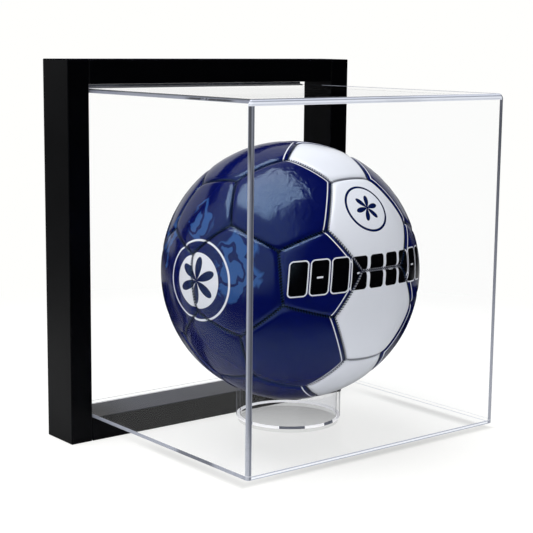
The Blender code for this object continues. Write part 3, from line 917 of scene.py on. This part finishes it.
# One panel's skin, with each point's distance from the seam, from the white neighbours and along the side.
def panelMesh(name, corners, whiteSides, radius, settings):
    middle = sum(corners, Vector()) / len(corners)
    count = len(corners)
    walls = [corners[i].cross(corners[(i + 1) % count]).normalized() for i in range(count)]
    reach = radius * math.asin(middle.normalized().dot(walls[0]))
    steps = settings["sideSteps"]
    bm = bmesh.new()
    seamLayer = bm.verts.layers.float.new("seamDistance")
    alongLayer = bm.verts.layers.float.new("seamAlong")
    pipingLayer = bm.verts.layers.float.new("pipingDistance")

    def addVert(flat, side, share, extraDepth=0.0):
        way = flat.normalized()
        distances = [radius * math.asin(max(-1, min(1, way.dot(wall)))) for wall in walls]
        blend = settings["cornerBlend"]
        soft = -blend * math.log(sum(math.exp(-d / blend) for d in distances))
        fall = max(0, 1 - max(0, soft) / settings["seamWidth"])
        height = radius - settings["seamDepth"] * fall ** settings["seamPower"] - settings["swell"]
        height += settings["swell"] * min(1, max(0, soft) / reach)
        vert = bm.verts.new(way * (height - extraDepth))
        vert[seamLayer] = min(distances)
        vert[alongLayer] = share * radius * corners[side].angle(corners[(side + 1) % count])
        vert[pipingLayer] = min([distances[i] for i in whiteSides], default=1.0)
        return vert

    loops = []
    gap = settings["seamGap"] / 2
    for inset in (None, *settings["rings"]):
        distance = gap + (inset or 0.0)
        scale = 1 - distance / reach
        loop = []
        for side in range(count):
            for step in range(steps):
                share = step / steps
                edge = corners[side].lerp(corners[(side + 1) % count], share)
                flat = middle.lerp(edge, scale)
                loop.append(addVert(flat, side, share, settings["skirt"] if inset is None else 0.0))
        loops.append(loop)
    centre = addVert(middle, 0, 0.0)
    total = count * steps
    for outer, inner in zip(loops, loops[1:]):
        for i in range(total):
            j = (i + 1) % total
            bm.faces.new((outer[i], outer[j], inner[j], inner[i]))
    last = loops[-1]
    for i in range(total):
        bm.faces.new((last[i], last[(i + 1) % total], centre))
    mesh = bpy.data.meshes.new(name)
    bm.to_mesh(mesh)
    bm.free()
    mesh.shade_smooth()
    return mesh


# The middle and the radius of the ball, and the way that each panel's node faces.
def ballFrame():
    names = [name for name in nodes if name.startswith(("ball_hexagon", "ball_pentagon"))]
    lows, highs = zip(*(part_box(name) for name in names))
    low = Vector(min(corner[i] for corner in lows) for i in range(3))
    high = Vector(max(corner[i] for corner in highs) for i in range(3))
    centre = (low + high) / 2
    ways = {}
    for name in names:
        verts = nodes[name].data.vertices
        ways[name] = (sum((v.co for v in verts), Vector()) / len(verts) - centre).normalized()
    return centre, (high.z - low.z) / 2, ways


# Prints on the ball. Ways are directions from its middle, sizes are metres on its skin.

prints = {
    "blockPole": (-0.012, 0.133, 0.991),
    "blockStart": (-0.65, -0.752, 0.105),
    "blockPitch": 0.0170,
    "blockWidth": 0.0140,
    "blockHeight": 0.0262,
    "blockCorner": 0.0026,
    "blockSlant": 0.16,
    "blockCount": 9,
    "blockOutline": 0.0010,
    "blockSoft": 0.0001,
    "slotWidth": 0.0052,
    "slotHeight": 0.0014,
    "pipingInset": 0.0036,
    "pipingWidth": 0.0009,
    "smallRosette": {
        "way": (0.035, -0.822, 0.568),
        "radius": 0.0195,
        "outline": 0.0020,
        "turn": 10,
        "filled": False,
    },
    "largeRosette": {
        "way": (-0.990, -0.133, 0.035),
        "radius": 0.0320,
        "outline": 0.0016,
        "turn": 24,
        "filled": True,
    },
    "discShare": 0.70,
    "petalShare": 0.86,
    "lineSoft": 0.00012,
}
ripples = {
    "patches": (
        {"way": (-0.898, -0.01, 0.44), "radius": 0.0150},
        {"way": (-0.872, -0.452, 0.16), "radius": 0.0200},
        {"way": (-0.895, 0.365, 0.258), "radius": 0.0120},
    ),
    "flatten": 0.7,
    "noise": {"scale": 55, "distortion": 0.6},
    "perMetre": 520,
    "sidewaysPerMetre": 240,
    "bend": 14,
    "ragged": 0.03,
    "fadeStart": 0.8,
    "waveEdge": (-0.75, -0.45),
    "share": 0.8,
}

# Seams, stitches, dents and creases. Bumps are (depth, strength).
leather = {
    "stitchSlant": 0.8,
    "stitchEdge": (0.0011, 0.0014),
    "holeEdge": (0.20, 0.30),
    "grooveEdge": (0.0001, 0.0004),
    "seamShare": 0.92,
    "dents": {"scale": 30, "roughness": 0.45, "distortion": 0.4},
    "dentBump": (0.0012, 0.5),
    "creases": {"scale": 95, "distortion": 0.35},
    "creaseStretch": (1.0, 1.0, 0.22),
    "creaseEdge": (0.0, 0.16),
    "creaseBump": (0.00022, 0.6),
    "holeBump": (0.0006, 0.9),
    "wornEdge": (0.93, 0.99),
    "patchScale": 17,
    "patchEdge": (0.52, 0.68),
    "patchRoughness": 0.05,
}


# What the ball's two materials share: places on the skin, prints, seams and gloss.
class BallSkin:
    def __init__(self, name, radius):
        self.material, self.graph = newMaterial(name)
        graph = self.graph
        self.radius = radius
        self.place = graph.objectPlace()
        self.way = graph.node("ShaderNodeVectorMath", {"operation": "NORMALIZE"}, {0: self.place})["Vector"]
        self.seam = self.attribute("seamDistance")
        self.along = self.attribute("seamAlong")
        self.piping = self.attribute("pipingDistance")

    def attribute(self, name):
        return self.graph.node("ShaderNodeAttribute", {"attribute_name": name})["Fac"]

    # Metres to the right and up on the skin round a way, and 1 on the near half of the ball.
    def local(self, way, turn=0):
        way = Vector(way).normalized()
        right = Vector((0, 0, 1)).cross(way).normalized()
        up = way.cross(right)
        turned = Matrix.Rotation(math.radians(turn), 3, way)
        right, up = turned @ right, turned @ up
        x = self.graph.dot(self.way, right) * self.radius
        y = self.graph.dot(self.way, up) * self.radius
        return x, y, self.graph.dot(self.way, way).above(0)

    def distance(self, x, y):
        return (x * x + y * y).math("SQRT")

    # The distance from the edge of a round-cornered rectangle, below zero inside it.
    def roundBox(self, x, y, width, height, corner):
        dx = (x.absolute() - (width / 2 - corner)).largest(0)
        dy = (y.absolute() - (height / 2 - corner)).largest(0)
        return self.distance(dx, dy) - corner

    # Slanted blocks in a row round the ball, every other one with a slot: the distance from their edge.
    def blocks(self):
        pole = Vector(prints["blockPole"]).normalized()
        start = Vector(prints["blockStart"])
        start = (start - pole * start.dot(pole)).normalized()
        side = pole.cross(start)
        graph = self.graph
        y = graph.dot(self.way, pole).math("ARCSINE") * self.radius
        turn = graph.dot(self.way, side).math("ARCTAN2", graph.dot(self.way, start))
        number = (turn * self.radius - y * prints["blockSlant"]) / prints["blockPitch"]
        x = (number - number.math("FLOOR") - 0.5) * prints["blockPitch"]
        block = self.roundBox(x, y, prints["blockWidth"], prints["blockHeight"], prints["blockCorner"])
        slot = self.roundBox(x, y, prints["slotWidth"], prints["slotHeight"], prints["slotHeight"] / 2)
        even = (number * 0.5).math("FRACT").below(0.5)
        counted = number.above(0) * number.below(prints["blockCount"])
        return block.largest(-slot - even) + (1 - counted)

    # A line along a distance, of some width.
    def lineAt(self, distance, inset, width):
        return (distance - inset).absolute().under(width / 2, prints["lineSoft"])

    # Six petals in a ring: masks of the ring, with a disc inside it where that is filled, and of the petals.
    def rosette(self, settings):
        x, y, near = self.local(settings["way"], settings["turn"])
        far = self.distance(x, y)
        inner = settings["radius"] * prints["discShare"]
        petal = (y.math("ARCTAN2", x) * 3).math("COSINE").absolute() * (inner * prints["petalShare"])
        ring = near * self.lineAt(far, settings["radius"], settings["outline"])
        if settings["filled"]:
            ring = ring.largest(near * far.under(inner, prints["lineSoft"]))
        return ring, near * (far - petal).under(0, prints["lineSoft"])

    # Soft light-blue ripples inside round patches.
    def ripples(self):
        bend = self.graph.noise(self.place, **ripples["noise"])
        total = None
        for patch in ripples["patches"]:
            x, y, near = self.local(patch["way"])
            far = self.distance(x, y * ripples["flatten"])
            wave = far * ripples["perMetre"] + bend * ripples["bend"] + x * ripples["sidewaysPerMetre"]
            ragged = far + (bend - 0.5) * ripples["ragged"]
            edge = 1 - ragged.ramp(patch["radius"] * ripples["fadeStart"], patch["radius"])
            mask = wave.math("SINE").ramp(*ripples["waveEdge"]) * edge * near
            total = mask if total is None else total.largest(mask)
        return total

    # Stitch holes and grooves along the seams, soft creases, and the gloss.
    def finish(self, colour, look):
        graph = self.graph
        beat = (self.along + self.seam * leather["stitchSlant"]) / ball["stitchPitch"]
        beat = (beat - beat.math("FLOOR") - 0.5).absolute()
        stitched = 1 - self.seam.ramp(*leather["stitchEdge"])
        hole = (1 - beat.ramp(*leather["holeEdge"])) * stitched
        groove = 1 - self.seam.ramp(*leather["grooveEdge"])
        threaded = graph.mixColour(stitched * look["threadShare"], colour, look["thread"])
        soiled = graph.mixColour(groove.largest(hole) * leather["seamShare"], threaded, look["seam"])
        stretched = {0: self.place, 1: leather["creaseStretch"]}
        drawn = graph.node("ShaderNodeVectorMath", {"operation": "MULTIPLY"}, stretched)["Vector"]
        dent = graph.noise(self.place, **leather["dents"])
        fold = (graph.noise(drawn, **leather["creases"]) - 0.5).absolute()
        crease = 1 - fold.ramp(*leather["creaseEdge"])
        worn = graph.dot(self.way, Vector(look["wornWay"]).normalized()).ramp(*leather["wornEdge"])
        cloud = graph.noise(self.place, leather["patchScale"], 1)
        patch = cloud.ramp(*leather["patchEdge"]).largest(worn)
        normal = graph.bump(dent, *leather["dentBump"])
        normal = graph.bump(crease * patch, *leather["creaseBump"], normal)
        normal = graph.bump(-hole, *leather["holeBump"], normal)
        shader = graph.principled(
            {
                "Base Color": soiled,
                "Roughness": patch * leather["patchRoughness"] + look["roughness"],
                "Specular IOR Level": look["specular"],
                "Specular Tint": asColour(look["sheen"]),
                "Normal": normal,
            }
        )
        graph.output(shader)
        return self.material


navyLook = {
    "dark": (0.0008, 0.0022, 0.060),
    "light": (0.0022, 0.0060, 0.096),
    "cloudScale": 12,
    "seam": (0.0008, 0.0009, 0.010),
    "thread": (0.010, 0.030, 0.085),
    "threadShare": 0.6,
    "roughness": 0.13,
    "specular": 0.5,
    "sheen": (0.48, 0.74, 1.0),
    "wornWay": (-0.48, -0.55, 0.68),
}
whiteLook = {
    "dark": (0.74, 0.77, 0.85),
    "light": (0.80, 0.83, 0.91),
    "cloudScale": 15,
    "seam": (0.010, 0.014, 0.05),
    "thread": (0.60, 0.62, 0.68),
    "threadShare": 0.5,
    "roughness": 0.16,
    "specular": 0.45,
    "sheen": (0.90, 0.93, 1.0),
    "wornWay": (0.2, -0.98, -0.2),
}
ink = {
    "black": (0.0016, 0.0016, 0.0022),
    "white": (0.76, 0.78, 0.85),
    "navy": (0.0020, 0.0075, 0.060),
    "lightBlue": (0.030, 0.095, 0.300),
}


# A skin, its graph and the cloudy colour under its prints.
def skinOf(name, radius, look):
    skin = BallSkin(name, radius)
    cloud = skin.graph.noise(skin.place, look["cloudScale"])
    return skin, skin.graph, skin.graph.mixColour(cloud, look["dark"], look["light"])


def navyMaterial(radius):
    skin, graph, colour = skinOf("navyPanel", radius, navyLook)
    colour = graph.mixColour(skin.ripples() * ripples["share"], colour, ink["lightBlue"])
    ring, petals = skin.rosette(prints["largeRosette"])
    colour = graph.mixColour(ring, colour, ink["white"])
    colour = graph.mixColour(petals, colour, ink["navy"])
    piping = skin.lineAt(skin.piping, prints["pipingInset"], prints["pipingWidth"])
    edge = skin.blocks()
    outline = edge.under(prints["blockOutline"], prints["blockSoft"])
    colour = graph.mixColour(piping.largest(outline), colour, ink["white"])
    colour = graph.mixColour(edge.under(0, prints["blockSoft"]), colour, ink["black"])
    return skin.finish(colour, navyLook)


def whiteMaterial(radius):
    skin, graph, colour = skinOf("whitePanel", radius, whiteLook)
    ring, petals = skin.rosette(prints["smallRosette"])
    colour = graph.mixColour(petals.largest(ring), colour, ink["navy"])
    colour = graph.mixColour(skin.blocks().under(0, prints["blockSoft"]), colour, ink["black"])
    return skin.finish(colour, whiteLook)


# A panel's corner, written the same for all the panels that meet there.
def cornerKey(corner):
    return tuple(round(value, 3) for value in corner)


def buildBall(settings):
    centre, radius, ways = ballFrame()
    skins = {"navy_panel": navyMaterial(radius), "white_panel": whiteMaterial(radius)}
    panels = panelNet(settings)
    middles = [sum(corners, Vector()).normalized() for corners in panels]
    nodeOf = [max(ways, key=lambda name: ways[name].dot(middle)) for middle in middles]
    isWhite = [slotOf[node] == "white_panel" for node in nodeOf]
    keysOf = [[cornerKey(corner) for corner in corners] for corners in panels]
    for number, keys in enumerate(keysOf):
        whiteSides = []
        for side, key in enumerate(keys):
            pair = {key, keys[(side + 1) % len(keys)]}
            other = next(k for k, known in enumerate(keysOf) if k != number and pair <= set(known))
            if isWhite[other]:
                whiteSides.append(side)
        node = nodeOf[number]
        name = "skin_" + node
        mesh = panelMesh(name, panels[number], whiteSides, radius, settings)
        newPiece(name, mesh, [skins[slotOf[node]]], "ball", [node], centre)
    print("ball built")


# Hangers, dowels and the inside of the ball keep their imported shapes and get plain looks.

hardware = {
    "zincSteel": {
        "starts": ("hanger",),
        "colour": (0.62, 0.63, 0.65),
        "roughness": 0.25,
        "metallic": 1.0,
        "scale": 700,
        "depth": 0.00004,
    },
    "beech": {
        "starts": ("dowel",),
        "colour": (0.64, 0.46, 0.29),
        "roughness": 0.6,
        "metallic": 0.0,
        "scale": 300,
        "depth": 0.0001,
    },
    "rubber": {
        "starts": ("ball_bladder", "ball_valve"),
        "colour": (0.035, 0.035, 0.037),
        "roughness": 0.5,
        "metallic": 0.0,
        "scale": 600,
        "depth": 0.00005,
    },
}
unevenness = {"detail": 3, "darkest": 0.75, "roughness": 0.15, "bump": 0.5}


def plainMaterial(name, look):
    material, graph = newMaterial(name)
    cloud = graph.noise(graph.objectPlace(), look["scale"], unevenness["detail"])
    darker = tuple(value * unevenness["darkest"] for value in look["colour"])
    shader = graph.principled(
        {
            "Base Color": graph.mixColour(cloud, darker, look["colour"]),
            "Roughness": cloud * unevenness["roughness"] + look["roughness"],
            "Metallic": look["metallic"],
            "Normal": graph.bump(cloud, look["depth"], unevenness["bump"]),
        }
    )
    graph.output(shader)
    return material


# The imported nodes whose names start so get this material.
def dress(material, starts):
    for name, node in nodes.items():
        if name.startswith(starts):
            node.data.materials.clear()
            node.data.materials.append(material)


addCamera(cameraSettings)
addWorld(studio)
addSoftBox(studio)
addFloor(stageFloor, studio["white"])
print("studio ready")

dress(lacquerMaterial(lacquer), ("left_stile", "right_stile", "top_rail", "bottom_rail"))
for name, look in hardware.items():
    dress(plainMaterial(name, look), look["starts"])
print("frame dressed")

buildCase(acrylic, paintedShadeSpot(ringShape))
buildRing(ringShape, ringLook)
buildBall(ball)

bpy.context.scene.view_settings.view_transform = "Standard"
